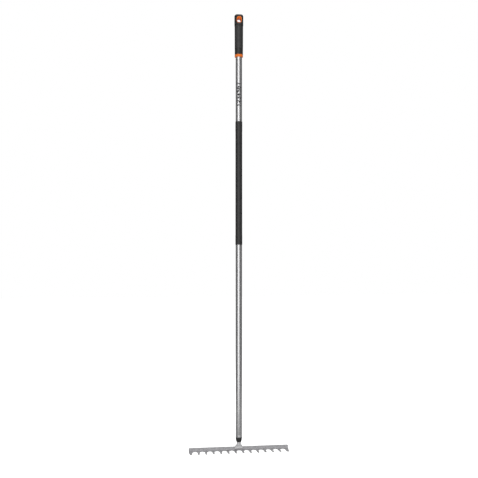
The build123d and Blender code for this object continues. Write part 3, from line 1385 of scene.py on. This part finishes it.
    def comb(self) -> Object:
        """The comb: a closed loop round the sheet at each point of its edge, joined in turn.

        At an edge point with outward normal N, the loop's rows on the face stand at the
        point moved in by the edge's rounding, and run from the bar's top to that point. The
        edge itself is a quarter circle each side: inset e (1 - cos q), height
        h - e (1 - sin q).

        Returns:
            The new object.
        """
        rim = self.whole_edge()
        way = np.gradient(rim, axis=0)
        way /= np.linalg.norm(way, axis=1, keepdims=True)
        normal = np.stack([-way[:, 1], way[:, 0]], 1)
        normal[[0, -1]] = [0.0, 1.0]
        top = self.top_edge(rim[:, 0])
        half = self.sheet / 2
        quarter = np.linspace(0, np.pi / 2, self.edge_steps + 1)
        inset = self.edge * (1 - np.cos(quarter))
        lift = half - self.edge * (1 - np.sin(quarter))
        inner = rim - normal * self.edge
        safe = self.bend_to + self.past_bend
        flat = np.array(self.bar_rows) * self.bend_from
        bend = np.linspace(self.bend_from, self.bend_to, self.bend_rows)
        fixed = np.concatenate([flat, bend, [safe]])
        share = np.linspace(0, 1, self.tooth_rows + 2)[1:-1]
        upper_along = [top[:, None] + inset[None]]
        upper_along.append(np.maximum(fixed[None], top[:, None] + self.edge + self.row_gap))
        upper_along.append(safe + (inner[:, 1:] - safe) * share[None])
        x_inner = inner[:, :1]
        upper_x = [np.repeat(x_inner, len(inset) + len(fixed) + len(share), 1)]
        rim_in = rim[:, None] - normal[:, None] * inset[::-1][None, :, None]
        along = np.concatenate([*upper_along, rim_in[..., 1]], 1)
        across = np.concatenate([*upper_x, rim_in[..., 0]], 1)
        middle_lift = np.full(len(fixed) + len(share), half)
        height = np.concatenate([lift, middle_lift, lift[::-1]])
        along = np.concatenate([along, along[:, ::-1]], 1)
        across = np.concatenate([across, across[:, ::-1]], 1)
        height = np.concatenate([height, -height[::-1]])
        y, z = self.fold(along, np.broadcast_to(height, along.shape))
        points = np.stack([across, y, z], -1)
        size = points.shape[1]
        quads = lattice_quads(len(points), size, False, True)
        j = np.arange(size // 2 - 1)
        ladder = np.stack([j, j + 1, size - j - 2, size - j - 1], 1)
        far = size * (len(points) - 1)
        quads = np.vstack([quads, ladder, ladder[:, ::-1] + far])
        return make_piece("rake_comb_pressed", points.reshape(-1, 3), quads, crease=35.0)

    def top_edge(self, x: Array) -> Array:
        """How far down the bar its top edge lies at each x: zero, but round at the corners."""
        over = np.clip(np.abs(x) - (self.half_length - self.bar_corner), 0, self.bar_corner)
        return self.bar_corner - np.sqrt(self.bar_corner**2 - over**2)


# ---- Studio ----


@dataclass(frozen=True)
class Card:
    """A curved card that only reflections see, standing round the tool's axis.

    Bearings are in degrees from the front (-Y), positive to the right; sizes in metres.
    """

    name: str
    bearings: tuple[float, float]
    foot: float
    head: float
    strength: float
    away: float = 1.7


CARDS = (
    Card("soft_front_card", (-42.0, 12.0), -1.90, 1.60, 1.40),
    Card("dark_right_card", (14.0, 166.0), -1.94, 1.40, 0.07),
    Card("dark_left_card", (-166.0, -45.0), -1.94, 1.40, 0.07),
    Card("soft_back_card", (168.0, 192.0), -1.90, 1.60, 1.10),
)


@dataclass(frozen=True)
class Lamp:
    """A soft square lamp: its name, place and side in metres, and its power in watts."""

    name: str
    place: Triple
    side: float
    power: float


LAMPS = (
    Lamp("key_lamp", (-0.7, -2.8, 0.1), 1.5, 50.0),
    Lamp("fill_lamp", (1.5, -2.3, -1.2), 1.2, 16.0),
    Lamp("top_lamp", (0.2, 0.6, 1.6), 1.4, 14.0),
    Lamp("back_lamp", (0.4, 2.8, 0.0), 1.4, 22.0),
)


@dataclass
class Studio:
    """Pale floor, even world, soft lamps, reflection cards and the camera (in metres)."""

    floor_level: float = -1.98
    floor_reach: float = 9.0
    floor_lift: float = 0.78
    floor_card_strength: float = 0.22
    floor_card_span: Span = (0.05, 1.69)
    floor_card_rise: float = 0.02
    ring_steps: int = 48
    card_steps: int = 32
    lamp_aim: Triple = (0.0, 0.0, -0.8)
    camera_distance: float = 2.1
    camera_height: float = -0.8237
    camera_azimuth: float = -5.6
    camera_aside: float = 0.0006
    lens: float = 41.84
    sensor: float = 36.0
    fill: float = 0.34

    def build(self) -> None:
        """Sets up everything that isn't part of the tool."""
        self.world()
        self.floor()
        for lamp in LAMPS:
            self.lamp(lamp)
        for card in CARDS:
            self.card(card)
        self.floor_card()
        self.camera()

    def white_seen(self, sheet: Sheet) -> Socket:
        """One for camera, glossy and transmission rays, nought for the rest.

        Args:
            sheet: the sheet that the nodes go on.

        Returns:
            The socket that holds it.
        """
        path = sheet.add("LightPath").outputs
        seen = sheet.math("MAXIMUM", path["Is Camera Ray"], path["Is Glossy Ray"])
        return sheet.math("MAXIMUM", seen, path["Is Transmission Ray"])

    def world(self) -> None:
        """White to the camera and in reflections, and a plain even fill for everything else."""
        world = bpy.data.worlds.new("studio_world")
        world.use_nodes = True
        world.node_tree.nodes.clear()
        sheet = Sheet(world.node_tree)
        strength = sheet.remap(self.white_seen(sheet), 0.0, 1.0, self.fill, 1.0)
        background = sheet.add("Background", {"Color": (1, 1, 1, 1), "Strength": strength})
        sheet.feed(sheet.add("OutputWorld"), {"Surface": background.outputs[0]})
        bpy.context.scene.world = world

    def stand(self, name: str, points: Array, faces: Array) -> Object:
        """Adds a staged sheet with a fresh, empty material.

        Args:
            name: name of the sheet.
            points: (n, 3) vertex positions in metres.
            faces: (m, 4) vertex numbers.

        Returns:
            The sheet.
        """
        mesh = bpy.data.meshes.new(name)
        mesh.from_pydata(points.tolist(), [], faces.tolist())
        sheet = bpy.data.objects.new(name, mesh)
        bpy.context.scene.collection.objects.link(sheet)
        material = bpy.data.materials.new(name)
        material.use_nodes = True
        material.node_tree.nodes.clear()
        mesh.materials.append(material)
        return sheet

    def floor(self) -> None:
        """Pale floor below the hanging tool; it takes the shadow and reads white elsewhere."""
        square = np.array([[-1.0, -1.0, 0.0], [1.0, -1.0, 0.0], [1.0, 1.0, 0.0], [-1.0, 1.0, 0.0]])
        corners = square * self.floor_reach + [0, 0, self.floor_level]
        floor = self.stand("pale_floor", corners, np.array([[0, 1, 2, 3]]))
        sheet = Sheet(floor.data.materials[0].node_tree)
        matt = sheet.add("BsdfDiffuse", {"Color": (0.8, 0.8, 0.8, 1)})
        lift = sheet.math("MULTIPLY", self.white_seen(sheet), self.floor_lift)
        glow = sheet.add("Emission", {"Strength": lift})
        both = sheet.add("AddShader", {0: matt.outputs[0], 1: glow.outputs[0]})
        sheet.feed(sheet.add("OutputMaterial"), {"Surface": both.outputs[0]})

    def lamp(self, lamp: Lamp) -> None:
        """Adds a lamp that faces the middle of the tool and isn't seen in reflections.

        Args:
            lamp: which one.
        """
        data = bpy.data.lights.new(lamp.name, "AREA")
        data.shape, data.size, data.energy = "SQUARE", lamp.side, lamp.power
        stood = bpy.data.objects.new(lamp.name, data)
        stood.location = lamp.place
        stood.visible_glossy = False
        aim = Vector(self.lamp_aim) - Vector(lamp.place)
        stood.rotation_euler = aim.to_track_quat("-Z", "Y").to_euler()
        bpy.context.scene.collection.objects.link(stood)

    def hide_but_from_reflections(self, card: Object, strength: float) -> None:
        """Gives a card an even glow that only reflections see.

        Args:
            card: the card.
            strength: how bright it is; one is white.
        """
        sheet = Sheet(card.data.materials[0].node_tree)
        glow = sheet.add("Emission", {"Strength": strength})
        sheet.feed(sheet.add("OutputMaterial"), {"Surface": glow.outputs[0]})
        card.visible_camera = False
        card.visible_diffuse = False
        card.visible_shadow = False

    def card(self, card: Card) -> None:
        """Adds a curved card: an arc of bearings carried from its foot to its head.

        Args:
            card: which one.
        """
        bearing = np.radians(np.linspace(*card.bearings, self.card_steps + 1))
        level = np.zeros_like(bearing)
        x, y = card.away * np.sin(bearing), -card.away * np.cos(bearing)
        points = np.vstack([np.stack([x, y, level + z], 1) for z in (card.foot, card.head)])
        faces = lattice_quads(2, len(bearing), False, False)
        stood = self.stand(card.name, points, faces)
        self.hide_but_from_reflections(stood, card.strength)

    def floor_card(self) -> None:
        """Adds a grey ring just over the floor, which dims the lower end of the tube."""
        angle = np.arange(self.ring_steps) * 2 * np.pi / self.ring_steps
        rim = np.stack([np.cos(angle), np.sin(angle), np.zeros_like(angle)], 1)
        rings = np.vstack([rim * radius for radius in self.floor_card_span])
        points = rings + [0, 0, self.floor_level + self.floor_card_rise]
        faces = lattice_quads(2, self.ring_steps, False, True)
        stood = self.stand("grey_floor_card", points, faces)
        self.hide_but_from_reflections(stood, self.floor_card_strength)

    def camera(self) -> None:
        """Sets the camera level with the middle of the tool and a little to its left."""
        data = bpy.data.cameras.new("camera")
        data.lens, data.sensor_width = self.lens, self.sensor
        camera = bpy.data.objects.new("camera", data)
        turn = math.radians(self.camera_azimuth)
        away = Vector((math.sin(turn), -math.cos(turn), 0)) * self.camera_distance
        aside = Vector((math.cos(turn), math.sin(turn), 0)) * self.camera_aside
        camera.location = away + aside + Vector((0, 0, self.camera_height))
        camera.rotation_euler = (math.pi / 2, 0, turn)
        bpy.context.scene.collection.objects.link(camera)
        bpy.context.scene.camera = camera


def main() -> None:
    logging.basicConfig(level=logging.INFO, format="%(name)s: %(message)s")
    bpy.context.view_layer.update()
    wardrobe = Wardrobe()
    for assembly in (EndGrip(), Shaft(), HeadJoint(), RakeComb()):
        log.info("building %s", type(assembly).__name__)
        assembly.build(wardrobe)
    Studio().build()
    bpy.context.scene.view_settings.view_transform = "Standard"
    bpy.context.view_layer.update()


if __name__ == "__main__":
    main()
